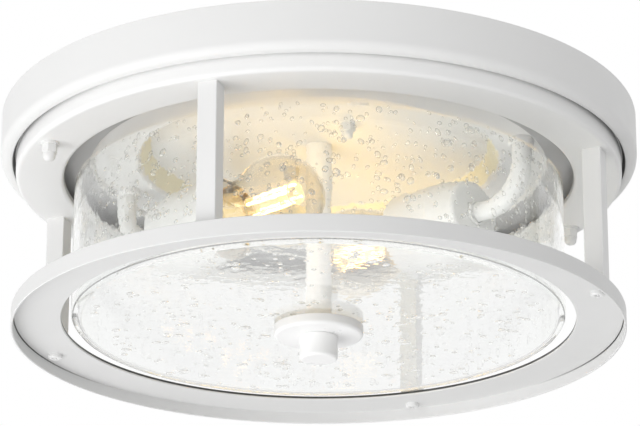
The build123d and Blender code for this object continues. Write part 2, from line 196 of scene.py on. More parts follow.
def piece(name, shape, body, material, replaces=(), sharp=40.0):
    """Mesh in millimetres made into a piece: doubles merged, faces outwards, smooth but for sharp folds."""
    points, faces = shape
    mesh = bpy.data.meshes.new(name)
    mesh.from_pydata((np.asarray(points) * mm).tolist(), [], faces.tolist())
    work = bmesh.new()
    work.from_mesh(mesh)
    bmesh.ops.remove_doubles(work, verts=work.verts, dist=merge_reach)
    bmesh.ops.recalc_face_normals(work, faces=work.faces)
    work.to_mesh(mesh)
    work.free()
    mesh.shade_smooth()
    mesh.set_sharp_from_angle(angle=np.radians(sharp))
    mesh.materials.append(material)
    thing = bpy.data.objects.new(name, mesh)
    bpy.context.scene.collection.objects.link(thing)
    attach(thing, body)
    if replaces:
        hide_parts(*replaces)
    print("made", name, "with", len(mesh.polygons), "faces")


print("points closer than", merge_reach, "m are merged")

# %% [markdown]
# ## White paint
# The metal is sprayed satin white. Real paint has a fine orange peel, a sheen that changes a little from
# place to place and a tone that is never quite even. A node group holds these three effects, so that each
# painted finish only sets its own amounts. The group gives out masks and a height, never a shader.
# A second group marks a zone round the light's axis, between two radii and two heights. There the paint
# goes over to another tone, and each such tone is painted light: a mid grey of painted shade in the recess
# above the frame ring, a warm painted glow of the bulbs on the raised middle, and thin near-black lines of
# painted shade in the groove under the frame ring's lip, at the top of the flange's inner edge and along
# the seam between flange and hoop. The lines in the groove and the seam stay at the two ends seen to the
# camera's left and right, and fade out between them.
# Small helpers come first, which add a node and fill its inputs. Colours are red, green, blue and a 1.

# %% Nodes and their inputs
nodes_in_row, column_step, row_step = 8, 220, 320


def dress(tree, node, *values, **named):
    """Let a node's inputs, in order or by name, follow another socket or keep a plain value."""
    pairs = list(zip(node.inputs, values))
    pairs += [(node.inputs[name.replace("_", " ")], value) for name, value in named.items()]
    for socket, value in pairs:
        if isinstance(value, bpy.types.NodeSocket):
            tree.links.new(value, socket)
        else:
            socket.default_value = value


def add_node(tree, kind, *values, operation=None, **named):
    """New node, set out in rows as they come, with its operation and its inputs."""
    row, column = divmod(len(tree.nodes), nodes_in_row)
    node = tree.nodes.new(kind)
    node.location = (column_step * column, -row_step * row)
    if operation:
        node.operation = operation
    dress(tree, node, *values, **named)
    return node


def add_group(tree, group, *values):
    """New node that uses a group, with the group's inputs in order."""
    node = add_node(tree, "ShaderNodeGroup")
    node.node_tree = group
    dress(tree, node, *values)
    return node


def reckon(tree, operation, *values):
    """Result of a Math node on sockets or plain numbers."""
    return add_node(tree, "ShaderNodeMath", *values, operation=operation).outputs[0]


def mix_colours(tree, mask, first, second):
    """Colour that goes from the first to the second as a mask goes from 0 to 1."""
    mix = add_node(tree, "ShaderNodeMix")
    mix.data_type = "RGBA"
    dress(tree, mix, Factor=mask, A=first, B=second)
    return mix.outputs["Result"]


def mix_shaders(tree, mask, first, second):
    """Shader that goes from the first to the second as a mask goes from 0 to 1."""
    return add_node(tree, "ShaderNodeMixShader", mask, first, second).outputs[0]


def object_noise(tree, **inputs):
    """Noise over the object's own coordinates."""
    place = add_node(tree, "ShaderNodeTexCoord").outputs["Object"]
    return add_node(tree, "ShaderNodeTexNoise", Vector=place, **inputs).outputs["Fac"]


print("nodes are set out in rows of", nodes_in_row)


# %% Paint texture group
def make_paint_group():
    """Group of three noises: a fine peel, wide clouds and a sheen between the two."""
    tree = bpy.data.node_groups.new("paint_texture", "ShaderNodeTree")
    for name, value in (("Peel Scale", 700.0), ("Cloud Scale", 9.0)):
        socket = tree.interface.new_socket(name, in_out="INPUT", socket_type="NodeSocketFloat")
        socket.default_value = value
    for name in ("Peel", "Cloud", "Sheen"):
        tree.interface.new_socket(name, in_out="OUTPUT", socket_type="NodeSocketFloat")
    start = add_node(tree, "NodeGroupInput").outputs
    peel = object_noise(tree, Scale=start["Peel Scale"], Detail=2.0, Roughness=0.45)
    cloud = object_noise(tree, Scale=start["Cloud Scale"], Detail=3.0, Roughness=0.6)
    sheen = object_noise(tree, Scale=55.0, Detail=4.0, Roughness=0.6)
    add_node(tree, "NodeGroupOutput", Peel=peel, Cloud=cloud, Sheen=sheen)
    return tree


paint_texture = make_paint_group()
print("group", paint_texture.name, "gives", [s.name for s in paint_texture.interface.items_tree])


# %% Zone group
def soft_step(tree, value, edge, soft):
    """Mask that rises from 0 to 1 as a value passes an edge, over a soft width on both sides."""
    start, finish = reckon(tree, "SUBTRACT", edge, soft), reckon(tree, "ADD", edge, soft)
    step = add_node(tree, "ShaderNodeMapRange", Value=value, From_Min=start, From_Max=finish)
    step.interpolation_type = "SMOOTHSTEP"
    return step.outputs["Result"]


def make_zone_group():
    """Group whose zone is (past inner - past outer) times (past low - past high), each a soft step."""
    tree = bpy.data.node_groups.new("axis_zone", "ShaderNodeTree")
    for name in ("Inner Radius", "Outer Radius", "Low", "High", "Soft"):
        tree.interface.new_socket(name, in_out="INPUT", socket_type="NodeSocketFloat")
    tree.interface.new_socket("Zone", in_out="OUTPUT", socket_type="NodeSocketFloat")
    start = add_node(tree, "NodeGroupInput").outputs
    place = add_node(tree, "ShaderNodeTexCoord").outputs["Object"]
    height = add_node(tree, "ShaderNodeSeparateXYZ", place).outputs["Z"]
    flat = add_node(tree, "ShaderNodeVectorMath", place, (1, 1, 0), operation="MULTIPLY").outputs[0]
    radius = add_node(tree, "ShaderNodeVectorMath", flat, operation="LENGTH").outputs["Value"]
    bands = []
    for value, first, last in ((radius, "Inner Radius", "Outer Radius"), (height, "Low", "High")):
        steps = [soft_step(tree, value, start[name], start["Soft"]) for name in (first, last)]
        bands.append(reckon(tree, "SUBTRACT", *steps))
    add_node(tree, "NodeGroupOutput", Zone=reckon(tree, "MULTIPLY", *bands))
    return tree


axis_zone = make_zone_group()
print("group", axis_zone.name, "gives", [s.name for s in axis_zone.interface.items_tree])

# %% Masks, colours and heights
noise_low, noise_high = 0.25, 0.75      # most of a noise lies between these values
ramp_start, ramp_end = 0.3, 0.7


def blend_colours(tree, mask, low, high):
    """Ramp from one colour to another over the middle of a mask."""
    ramp = add_node(tree, "ShaderNodeValToRGB", mask)
    stops = ramp.color_ramp.elements
    stops[0].position, stops[1].position = ramp_start, ramp_end
    stops[0].color, stops[1].color = low, high
    return ramp.outputs["Color"]


def map_noise(tree, noise, low, high):
    """Noise carried onto another range."""
    node = add_node(tree, "ShaderNodeMapRange", Value=noise, From_Min=noise_low, From_Max=noise_high,
                    To_Min=low, To_Max=high)
    return node.outputs["Result"]


def bumped(tree, height, strength, depth):
    """Normal of a skin that is raised by a height."""
    bump = add_node(tree, "ShaderNodeBump", Height=height, Strength=strength, Distance=depth)
    return bump.outputs["Normal"]


def zone_mask(tree, zone):
    """Mask of a zone given in millimetres as inner and outer radius, low, high and softness."""
    return add_group(tree, axis_zone, *[value * mm for value in zone]).outputs["Zone"]


def end_mask(tree, mask, arrow, near, far):
    """Mask that fades in between a near and a far mark, counted to either side along an arrow."""
    place = add_node(tree, "ShaderNodeTexCoord").outputs["Object"]
    reach = add_node(tree, "ShaderNodeVectorMath", place, arrow, operation="DOT_PRODUCT").outputs["Value"]
    share = add_node(tree, "ShaderNodeMapRange", Value=reckon(tree, "ABSOLUTE", reach),
                     From_Min=near * mm, From_Max=far * mm)
    return reckon(tree, "MULTIPLY", share.outputs["Result"], mask)


print("noise is read between", noise_low, "and", noise_high)

# %% Paint
peel_height = 0.0002


def new_material(name, **inputs):
    """Node material with its tree and its Principled shader, which takes the named inputs."""
    material = bpy.data.materials.new(name)
    material.use_nodes = True
    tree = material.node_tree
    shader = tree.nodes["Principled BSDF"]
    dress(tree, shader, **inputs)
    return material, tree, shader


def painted(name, tones, sheen=(0.34, 0.46), peel=0.12, peel_scale=700.0, zones=()):
    """Paint with tone, sheen and orange peel from the paint texture group, and other tones in its zones."""
    material, tree, shader = new_material(name)
    texture = add_group(tree, paint_texture, peel_scale).outputs
    colour = blend_colours(tree, texture["Cloud"], *tones)
    for zone, tone, *ends in zones:
        mask = zone_mask(tree, zone)
        if ends:
            mask = end_mask(tree, mask, *ends)
        colour = mix_colours(tree, mask, colour, tone)
    dress(tree, shader, Base_Color=colour, Roughness=map_noise(tree, texture["Sheen"], *sheen),
          Normal=bumped(tree, texture["Peel"], peel, peel_height))
    return material


print("paint's peel is", peel_height, "m high")


# %% Painted finishes
def grey(level):
    """Even grey of a level from black 0 to white 1."""
    return level, level, level, 1


def off_white(level):
    """Two close tones of white with a trace less blue than grey."""
    return (level, level, level - 0.005, 1), (level + 0.03, level + 0.03, level + 0.025, 1)


painted_recess_shade, painted_shade_line, painted_lamp_glow = grey(0.46), grey(0.05), (0.83, 0.79, 0.60, 1)
# The recess zone takes the mid grey: painted shade above the frame ring, where little light reaches.
recess = (118.6, 152.0, -32.2, -23.7, 0.4)
# The dish zone takes the warm tone: a painted glow of the bulbs on the raised middle of the pan.
dish = (-1.0, 93.0, -22.0, -11.4, 0.3)
# The next three zones take the near-black tone: painted shade lines in the groove under the ring's lip, at
# the top of the flange's inner edge and in the flange's seam. The groove and seam lines fade out between
# the camera's left and right ends.
lip_gap, lip_gap_ends = (157.35, 158.95, -25.0, -21.4, 0.12), (rightward, 105.0, 150.0)
sheared_edge = (130.0, 132.8, -107.55, -106.0, 0.12)
flange_seam, flange_seam_ends = (155.3, 156.3, -108.8, -108.0, 0.15), (rightward, 115.0, 152.0)

# The one white paint comes in lighter and darker copies that stand for light and shade: the frame ring's
# lighter copy is painted light on its underside, the hoop's darker copy is painted shade, and the bright
# copy on the stem, plate and knob is painted light.
white_paint = painted("white_paint", off_white(0.80))
lit_white_paint = painted("lit_white_paint", off_white(0.92), (0.25, 0.35))
ring_lit_paint = painted("ring_lit_paint", off_white(0.85), zones=[(recess, painted_recess_shade)])
canopy_paint = painted("canopy_paint", off_white(0.80), zones=[
    (recess, painted_recess_shade), (dish, painted_lamp_glow), (lip_gap, painted_shade_line, *lip_gap_ends)])
hoop_shaded_paint = painted("hoop_shaded_paint", off_white(0.735), zones=[
    (sheared_edge, painted_shade_line), (flange_seam, painted_shade_line, *flange_seam_ends)])
print("painted", white_paint.name, lit_white_paint.name, ring_lit_paint.name, canopy_paint.name, hoop_shaded_paint.name)

moulding_tones = (0.76, 0.76, 0.73, 1), (0.80, 0.80, 0.77, 1)
green_tones = (0.03, 0.2, 0.07, 1), (0.05, 0.27, 0.1, 1)
rubber_tones = (0.62, 0.62, 0.6, 1), (0.7, 0.7, 0.67, 1)
white_moulding = painted("white_moulding", moulding_tones, (0.2, 0.3), 0.05, 300.0)
green_dye = painted("green_dye", green_tones, (0.25, 0.4), 0.1)
gasket_rubber = painted("gasket_rubber", rubber_tones, (0.6, 0.75), 0.3, 500.0)
print("moulded", white_moulding.name, "dyed", green_dye.name, "rubber", gasket_rubber.name)

# %% [markdown]
# ## Plated steel and brass
# The hidden bracket and its screws are zinc plated, with fine drawing marks along the strap. The bulb caps
# and screw shells are thin pressed brass. Both are metals, so their colour is their reflection, and the
# detail lies in how the polish varies.

# %% Metals
mark_height = 0.0001


def plated(name, tones, polish, stretch, marks):
    """Metal with stretched noise for drawing marks, which vary colour, polish and a shallow height."""
    material, tree, shader = new_material(name, Metallic=1.0)
    place = add_node(tree, "ShaderNodeTexCoord").outputs["Object"]
    drawn = add_node(tree, "ShaderNodeMapping", Vector=place, Scale=stretch).outputs["Vector"]
    streaks = add_node(tree, "ShaderNodeTexNoise", Vector=drawn, Scale=1.0, Detail=5.0, Roughness=0.65)
    noise = streaks.outputs["Fac"]
    dress(tree, shader, Base_Color=blend_colours(tree, noise, *tones),
          Roughness=map_noise(tree, noise, *polish), Normal=bumped(tree, noise, marks, mark_height))
    return material


zinc_tones = (0.55, 0.55, 0.53, 1), (0.68, 0.68, 0.65, 1)
brass_tones = (0.62, 0.43, 0.18, 1), (0.74, 0.55, 0.28, 1)
zinc_steel = plated("zinc_steel", zinc_tones, (0.25, 0.45), (900, 60, 900), 0.3)
brass = plated("brass", brass_tones, (0.35, 0.5), (250, 250, 250), 0.2)
print("metals", zinc_steel.name, brass.name)

# %% [markdown]
# ## Glass
# Seeded glass is clear glass with trapped bubbles and a slightly uneven skin. The skin's slow waves are a
# bump on the shader, and the bubbles are real little hollows made further on. Clear glass stops lamp light
# in a path tracer, so a Light Path switch lets shadow rays pass straight through. A ray that is caught
# between the two skins of the glass turns back many times and would end black, so after a few turns the
# same switch lets it out.
# A thin skin, such as a bulb's globe or a flat bubble, hardly bends what is seen straight through it. So it
# is see-through where it faces us and turns to glass only towards its edge, which leaves a fine outline.
# The drum has three zones of its own: a thin grey band of painted shade low on its side, level with the
# flange's inner edge, a glossier foot and a rim that fades away.

# %% Clear glass
most_turns = 3.5
glass_ior, air_in_glass = 1.5, 0.667
no_tint = grey(1.0)
thick_skin = (0.967, 0.967, 0.945, 1)   # what one skin of thick glass lets through
thin_edge = 4.0                         # how late a thin skin turns to glass


def edge_mask(tree, power):
    """Mask that is 0 where a surface faces us and rises to 1 at its edge."""
    facing = add_node(tree, "ShaderNodeLayerWeight", Blend=0.5).outputs["Facing"]
    return reckon(tree, "POWER", facing, power)


def clear_glass(name, tint, ior, polish, waves, lets_through=thick_skin, thinness=0.0):
    """Glass with slow noise waves for its height. Shadow rays, tired rays and the share of a thin skin that
    faces us, its thinness less its edge mask, meet a see-through shader instead."""
    material, tree, shader = new_material(
        name, Base_Color=tint, Transmission_Weight=1.0, IOR=ior, Roughness=polish)
    scale, depth = waves
    noise = object_noise(tree, Scale=scale, Detail=2.0, Roughness=0.5)
    dress(tree, shader, Normal=bumped(tree, noise, 1.0, depth))
    path = add_node(tree, "ShaderNodeLightPath").outputs
    tired = reckon(tree, "GREATER_THAN", path["Ray Depth"], most_turns)
    straight = reckon(tree, "MAXIMUM", path["Is Shadow Ray"], tired)
    if thinness:
        facing = reckon(tree, "SUBTRACT", thinness, edge_mask(tree, thin_edge))
        straight = reckon(tree, "MAXIMUM", facing, straight)
    through = add_node(tree, "ShaderNodeBsdfTransparent", Color=lets_through).outputs["BSDF"]
    shown = mix_shaders(tree, straight, shader.outputs["BSDF"], through)
    dress(tree, tree.nodes["Material Output"], Surface=shown)
    return material


bulb_glass = clear_glass("bulb_glass", (1.0, 0.97, 0.9, 1), glass_ior, 0.04, (80.0, 0.0001),
                         lets_through=(1.0, 0.985, 0.955, 1), thinness=0.98)
mount_glass = clear_glass("mount_glass", (0.96, 0.96, 0.94, 1), glass_ior, 0.02, (120.0, 0.0002))
# The stand's faint warm emission is a painted glow from the strips; the stand itself gives no light.
glowing_mount_shader = mount_glass.node_tree.nodes["Principled BSDF"]
dress(mount_glass.node_tree, glowing_mount_shader, Emission_Color=(1.0, 0.72, 0.3, 1), Emission_Strength=0.32)
print("bulb glasses", bulb_glass.name, mount_glass.name)

# %% Seeded glass
seeded_tint, painted_foot_shade, painted_outline_shade = (0.945, 0.953, 0.949, 1), grey(0.25), grey(0.03)
# The band low on the drum takes a grey of painted shade, the dark of the gap between glass and flange.
foot_shade_band = (124.0, 127.0, -107.2, -106.6, 0.1)
drum_underside = (-1.0, 124.0, -110.0, -107.6, 0.3)
drum_edge = (120.0, 130.0, -37.0, -30.0, 1.0)
foot_ior, foot_polish = 1.8, 0.05

seeded_glass = clear_glass("seeded_glass", seeded_tint, glass_ior, 0.0, (140.0, 0.00006))
tree = seeded_glass.node_tree
dress(tree, tree.nodes["Principled BSDF"],
      Base_Color=mix_colours(tree, zone_mask(tree, foot_shade_band), seeded_tint, painted_foot_shade),
      Coat_Weight=zone_mask(tree, drum_underside), Coat_IOR=foot_ior, Coat_Roughness=foot_polish,
      Alpha=reckon(tree, "SUBTRACT", 1.0, zone_mask(tree, drum_edge)))


def bubble_air(name, thinness):
    """Air inside the glass, whose colour goes to a near-black painted shade as its edge mask rises, for the
    dark rim that bending light gives a bubble.
    """
    air = clear_glass(name, no_tint, air_in_glass, 0.0, (300.0, 0.00005), no_tint, thinness)
    tree = air.node_tree
    outlined = mix_colours(tree, edge_mask(tree, 1.0), no_tint, painted_outline_shade)
    dress(tree, tree.nodes["Principled BSDF"], Base_Color=outlined)
    return air


wall_air = bubble_air("wall_air", 0.8)
floor_air = bubble_air("floor_air", 0.0)
print("drum glasses", seeded_glass.name, wall_air.name, floor_air.name)

# %% [markdown]
# ## Lit strips
# Each bulb is lit by slim strips: a row of small chips under a yellow phosphor. The strip shines all along,
# and it is brighter and paler in the dots over its chips.


# %% Lit filament
def lit(name, base, colour, chips, strength):
    """Glowing strip: fine noise blends its colour with the colour of the chips."""
    material, tree, shader = new_material(name, Base_Color=base, Roughness=0.5, Emission_Strength=strength)
    dots = object_noise(tree, Scale=700.0, Detail=1.0)
    dress(tree, shader, Emission_Color=blend_colours(tree, dots, colour, chips))
    return material


filament_glow = lit("filament_glow", (0.9, 0.6, 0.2, 1), (1.0, 0.62, 0.2, 1), (1.0, 0.82, 0.48, 1), 4.0)
print("lit", filament_glow.name)

# %% [markdown]
# ## The canopy and the cage
# The canopy is one drawn sheet: a rolled rim, a seat for the frame ring, a ledge that carries the lamp
# arms and a raised middle. The frame ring is an angle section, and the bottom ring is a hoop with a flange
# welded inside. Each is a section turned about the light's axis, so each keeps its true sheet thickness.

# %% Canopy, frame ring and bottom ring
ring_turns = 256
sheet_edge = 0.2
canopy_line = [(165, 0), (165, -25.2), (158.9, -25.2), (157.9, -21.9), (153.8, -21.9), (152.8, -24.2),
               (117.9, -24.2), (117.3, -21.5), (94, -21.5), (88, -11), (4.2, -11)]
canopy_bends = [3.5, 0.4, 0.3, 0.3, 0.4, 0.5, 0.5, 1.5, 1.5]
canopy_section = sheet_section(canopy_line, canopy_bends, 1.0, sheet_edge)
piece("canopy_pan", turned(canopy_section, ring_turns), "fixture", canopy_paint, ["canopy"])

ring_line = [(157, -21.9), (157, -33.2), (132, -33.2), (132, -30.2)]
ring_section = sheet_section(ring_line, [1.0, 1.0], 1.2, sheet_edge)
piece("frame_ring_angle", turned(ring_section, ring_turns), "fixture", ring_lit_paint,
      ["frame_ring"])

hoop_outline = [(157, -114.6), (157, -105.6), (155.8, -105.6), (155.8, -107.1), (132.6, -107.1),
                (132.6, -106.3), (131.6, -106.3), (131.6, -108.3), (155.8, -108.3), (155.8, -114.6)]
hoop_section = rounded(hoop_outline, [0.5, 0.5, 0.5, 0.3, 0.3, 0.3, 0.3, 0.5, 0.1, 0.5])
piece("bottom_ring_hoop", turned(hoop_section, ring_turns), "fixture", hoop_shaded_paint,
      ["bottom_ring"])

# %% [markdown]
# ## Screw heads under the flange
# A pan head with a cross recess is a height over a polar grid: a flat face with a rounded edge, less a dip
# wherever the point lies within one of the two bars of the cross.

# %% Post screws
head_radius, head_edge, head_seat, head_face = 3.6, 1.0, -108.3, -110.5
shank_radius, shank_end = 2.0, -97.1
bar_half_width, bar_reach, bar_depth = 0.65, 2.0, 1.1
bar_side_slope, bar_end_slope = 0.2, 0.3
flat_steps, edge_steps, head_sides = 20, 8, 64


def cross_screw():
    """Screw about the Z axis: height = outline(radius) + recess, and the recess is 0 outside the cross."""
    turn = np.linspace(0, np.pi / 2, edge_steps)
    inner = head_radius - head_edge
    flat = np.stack([np.linspace(0, inner, flat_steps), np.full(flat_steps, head_face)], axis=1)
    rim_height = head_face + head_edge - head_edge * np.cos(turn)
    rim = np.stack([inner + head_edge * np.sin(turn), rim_height], axis=1)
    back = np.array([(head_radius, head_seat), (shank_radius, head_seat),
                     (shank_radius, shank_end), (0, shank_end)])
    outline = np.concatenate([flat, rim[1:], back])
    angle = np.linspace(0, 2 * np.pi, head_sides, endpoint=False)
    x, y = outline[:, :1] * np.cos(angle), outline[:, :1] * np.sin(angle)
    narrow, wide = np.minimum(abs(x), abs(y)), np.maximum(abs(x), abs(y))
    bar = np.clip((bar_half_width - narrow) / bar_side_slope, 0, 1)
    bar = bar * np.clip((bar_reach - wide) / bar_end_slope, 0, 1)
    on_face = np.arange(len(outline))[:, None] < len(flat)
    z = outline[:, 1:] + bar_depth * bar * on_face
    return np.stack([x, y, z], axis=2).reshape(-1, 3), grid_faces(len(outline), head_sides, False, True)


post_circle = 148.0
post_angles = np.radians([45, 135, 225, 315])
screw, screw_faces = cross_screw()
screw_places = [post_circle * np.array([np.cos(a), np.sin(a), 0]) for a in post_angles]
piece("cross_head_screws", joined(*[(screw + spot, screw_faces) for spot in screw_places]), "fixture",
      white_paint, ["post_screws_lower"])

# %% [markdown]
# ## The seeded glass drum
# The drum is a thick-walled cup with a fire-polished rim. Its bubbles are flattened by the blowing, lie at
# the middle of the wall and come in a few large and many small sizes. Each bubble is the same small sphere,
# squeezed and turned to lie along the glass, so all of them come from one broadcast of arrays.

# %% Drum
drum_radius, drum_wall, drum_base, drum_rim, drum_foot = 126.6, 3.0, 3.5, -34.2, -108.5
drum_inside, drum_floor, drum_hole = drum_radius - drum_wall, drum_foot + drum_base, 5.5
drum_outline = [(drum_radius, drum_foot), (drum_radius, drum_rim), (drum_inside, drum_rim),
                (drum_inside, drum_floor), (drum_hole, drum_floor), (drum_hole, drum_foot)]
drum_section = rounded(drum_outline, [4.0, 1.49, 1.49, 2.5, 0.4, 0.4], 10)
piece("seeded_drum", turned(drum_section, ring_turns), "shade", seeded_glass,
      ["glass_shade"])

# %% Bubble shapes
chance = np.random.default_rng(11)


def unit_bubble(rings=5, sides=10):
    """Small sphere on a grid of two angles, poles included."""
    down = np.linspace(0, np.pi, rings)[:, None]
    round_it = np.linspace(0, 2 * np.pi, sides, endpoint=False)[None, :]
    x, y = np.sin(down) * np.cos(round_it), np.sin(down) * np.sin(round_it)
    z = np.cos(down) * np.ones(sides)
    return np.stack([x, y, z], axis=2).reshape(-1, 3), grid_faces(rings, sides, False, True)


def bubbles(centres, along, across, outward, sizes, plump, thickness):
    """One squeezed sphere at each centre: long along the glass, plump across it as far as there is room."""
    ball, faces = unit_bubble()
    count = len(centres)
    turn = chance.uniform(0, np.pi, count)[:, None]
    first = np.cos(turn) * along + np.sin(turn) * across
    second = -np.sin(turn) * along + np.cos(turn) * across
    long_side = (sizes * chance.uniform(1.0, 1.3, count))[:, None, None]
    wide_side = (sizes * chance.uniform(0.8, 1.0, count))[:, None, None]
    deep_side = np.minimum(sizes * plump, thickness)[:, None, None]
    points = centres[:, None] + ball[None, :, :1] * long_side * first[:, None]
    points = points + ball[None, :, 1:2] * wide_side * second[:, None]
    points = points + ball[None, :, 2:] * deep_side * outward[:, None]
    numbers = faces[None] + (np.arange(count) * len(ball))[:, None, None]
    return points.reshape(-1, 3), numbers.reshape(-1, 4)


print("one bubble has", len(unit_bubble()[1]), "faces")

# %% Bubbles in the wall and the bottom
glass_left = 0.35       # least glass over a bubble, in millimetres
seed_usual, seed_spread, seed_least, seed_most = 0.9, 0.36, 0.45, 2.0


def bubble_sizes(count):
    """Half lengths in millimetres: many small seeds and a few large ones."""
    return np.clip(chance.lognormal(np.log(seed_usual), seed_spread, count), seed_least, seed_most)


def places_round_axis(count):
    """Arrows at chance angles, a row for each: outward from the axis, round it, and up."""
    angle = chance.uniform(0, 2 * np.pi, count)
    radial = np.stack([np.cos(angle), np.sin(angle), np.zeros(count)], axis=1)
    along = np.stack([-np.sin(angle), np.cos(angle), np.zeros(count)], axis=1)
    return radial, along, np.tile([0.0, 0.0, 1.0], (count, 1))


def wall_bubbles(count, plump=0.55, above_foot=9, below_rim=3):
    """Seeds at the middle of the wall: its radius outward, and a chance height up."""
    radial, along, up = places_round_axis(count)
    height = chance.uniform(drum_foot + above_foot, drum_rim - below_rim, count)
    centres = radial * (drum_radius - drum_wall / 2) + up * height[:, None]
    return bubbles(centres, along, up, radial, bubble_sizes(count), plump, drum_wall / 2 - glass_left)


def floor_bubbles(count, plump=0.8, growth=1.5, least_radius=13.0, edge_margin=10):
    """Seeds at the middle of the bottom: each radius is the root of a chance square, for an even spread."""
    radial, along, up = places_round_axis(count)
    radius = np.sqrt(chance.uniform(least_radius ** 2, (drum_radius - edge_margin) ** 2, count))
    centres = radial * radius[:, None] + up * (drum_foot + drum_base / 2)
    sizes = growth * bubble_sizes(count)
    return bubbles(centres, along, radial, up, sizes, plump, drum_base / 2 - glass_left)


no_folds = 180.0
piece("wall_bubbles", wall_bubbles(2500), "shade", wall_air, sharp=no_folds)
piece("floor_bubbles", floor_bubbles(420), "shade", floor_air, sharp=no_folds)

# %% [markdown]
# ## Stem and finial
# Two sleeves over a threaded rod space the glass from the canopy, and a plate and knob close it below.
# They are plain turned parts, so their character is in the small rounded edges that catch the light.

# %% Sleeves, plate and knob
stem_radius, stem_bore, stem_joint = 6.7, 4.3, 42
plate_radius, plate_top, plate_bottom = 22.9, 109.5, 115.2
knob_radius, knob_bottom, rod_radius, rod_end = 9.8, 127.5, 4.06, 124.2


def sleeve(radius, bore, top, bottom, edges):
    """Section of a round sleeve: four corners, rounded at the outer bottom, the outer top and the bore."""
    outline = [(radius, -bottom), (radius, -top), (bore, -top), (bore, -bottom)]
    low, high, inner = edges
    return rounded(outline, [low, high, inner, inner])


upper_sleeve = sleeve(stem_radius, stem_bore, 11, stem_joint, (0.6, 0.3, 0.1))
lower_sleeve = sleeve(stem_radius, stem_bore, stem_joint, 104, (0.3, 0.6, 0.1))
piece("stem_sleeve_upper", turned(upper_sleeve, 64), "fixture", lit_white_paint, ["stem_upper"])
piece("stem_sleeve_lower", turned(lower_sleeve, 64), "fixture", lit_white_paint, ["stem_lower"])

disc = sleeve(plate_radius, rod_radius, plate_top, plate_bottom, (1.8, 0.5, 0.1))
piece("finial_disc", turned(disc, 128), "shade", lit_white_paint, ["finial_plate"])

knob_outline = [(0, -knob_bottom), (knob_radius, -knob_bottom), (knob_radius, -plate_bottom),
                (rod_radius, -plate_bottom), (rod_radius, -rod_end), (0, -rod_end)]
knob_section = rounded(knob_outline, [0, 1.5, 0.4, 0.1, 0.1, 0])
piece("finial_handle", turned(knob_section, 96), "finial", lit_white_paint, ["finial_knob"])

# %% [markdown]
# ## Lamp arms and sockets
# Each arm is a tube that comes down from the ledge and bends to carry a socket cup. Both lamps are the same
# parts turned half round the light, so every piece is written once in the lamp's own lines: a base point
# above, a direction along the lamp and a side across it.

# %% Lamp places
arm_circle, lamp_depth = 109.5, 54.5
lamp_swing = np.radians(22.5)       # how far a lamp points to the side of the light's axis
lamp_sides = {"right": np.radians(45.0), "left": np.radians(225.0)}


def lamp_frame(side):
    """Base point of the arm at the lamp's own height, the lamp's direction and the level side across it."""
    at = lamp_sides[side]
    heading = at + np.pi - lamp_swing
    base = np.array([arm_circle * np.cos(at), arm_circle * np.sin(at), -lamp_depth])
    direction = np.array([np.cos(heading), np.sin(heading), 0])
    return base, direction, np.array([-np.sin(heading), np.cos(heading), 0])


def on_lamp(section, side, turns=96, closed=True):
    """Section given as (distance along the lamp, radius), turned about the lamp's axis."""
    base, direction, across = lamp_frame(side)
    swapped = np.asarray(section, float)[:, ::-1]
    return turned(swapped, turns, base, direction, across, closed)


print("lamps", {side: np.round(lamp_frame(side)[0], 1).tolist() for side in lamp_sides})


# %% Arms
def arm_shape(side, radius=5.0, bore=4.0, bend=22.0, top=41.0, tip=35.7, steps=24, sides=40):
    """Tube along a path that falls, turns a quarter circle and runs level: path + radius (cos, sin)."""
    base, direction, across = lamp_frame(side)
    turn = np.linspace(0, np.pi / 2, steps)
    along = np.concatenate([[0.0], bend * (1 - np.cos(turn)), [tip]])
    height = np.concatenate([[top], bend * (1 - np.sin(turn)), [0.0]])
    lean = np.concatenate([[0.0], turn, [np.pi / 2]])
    up = np.array([0.0, 0.0, 1.0])
    path = base + along[:, None] * direction + height[:, None] * up
    outward = np.cos(lean)[:, None] * direction + np.sin(lean)[:, None] * up
    angle = np.linspace(0, 2 * np.pi, sides, endpoint=False)[None, :, None]

    def skin(r):
        """Ring of a radius round every point of the path."""
        return path[:, None] + r * (np.cos(angle) * outward[:, None] + np.sin(angle) * across)

    loop = np.concatenate([skin(radius), skin(bore)[::-1]])
    return loop.reshape(-1, 3), grid_faces(len(loop), sides, True, True)


collar_turns = 64
collar = sleeve(7.0, 5.2, 21.5, 25.5, (1.2, 0.3, 0.1))
collars = []
for side in lamp_sides:
    piece(f"arm_tube_{side}", arm_shape(side), "fixture", white_paint, [f"lamp_arm_{side}"])
    foot = lamp_frame(side)[0] * np.array([1, 1, 0])
    collars.append(turned(collar, collar_turns, foot))
piece("arm_top_collars", joined(*collars), "fixture", white_paint, ["arm_collars"])

# %% Socket cups and holders
cup_line = [(30.7, 5.2), (30.7, 17.5), (47.7, 20.4), (76, 20.4)]
cup_section = sheet_section(cup_line, [2.0, 2.0], 1.0, 0.3)
holder_outline = [(35.7, 0), (50, 0), (50, 14.4), (74.5, 14.4),
                  (74.5, 19.2), (48, 19.2), (48, 13.5), (35.7, 13.5)]
holder_section = rounded(holder_outline, [0, 0, 0.5, 0.6, 0.8, 0.8, 0.5, 0.8])
rear_collar = rounded([(28.7, 5.2), (30.7, 5.2), (30.7, 6.3), (28.7, 6.3)], [0.1, 0.1, 0.2, 0.5])
for side in lamp_sides:
    piece(f"socket_shell_{side}", on_lamp(cup_section, side), "fixture",
          white_paint, [f"socket_cup_{side}"])
    piece(f"lampholder_body_{side}", on_lamp(holder_section, side), "fixture",
          white_moulding, [f"lampholder_{side}"])
rear_collars = [on_lamp(rear_collar, side, collar_turns) for side in lamp_sides]
piece("cup_rear_collars", joined(*rear_collars), "fixture", white_paint, ["cup_collars"])

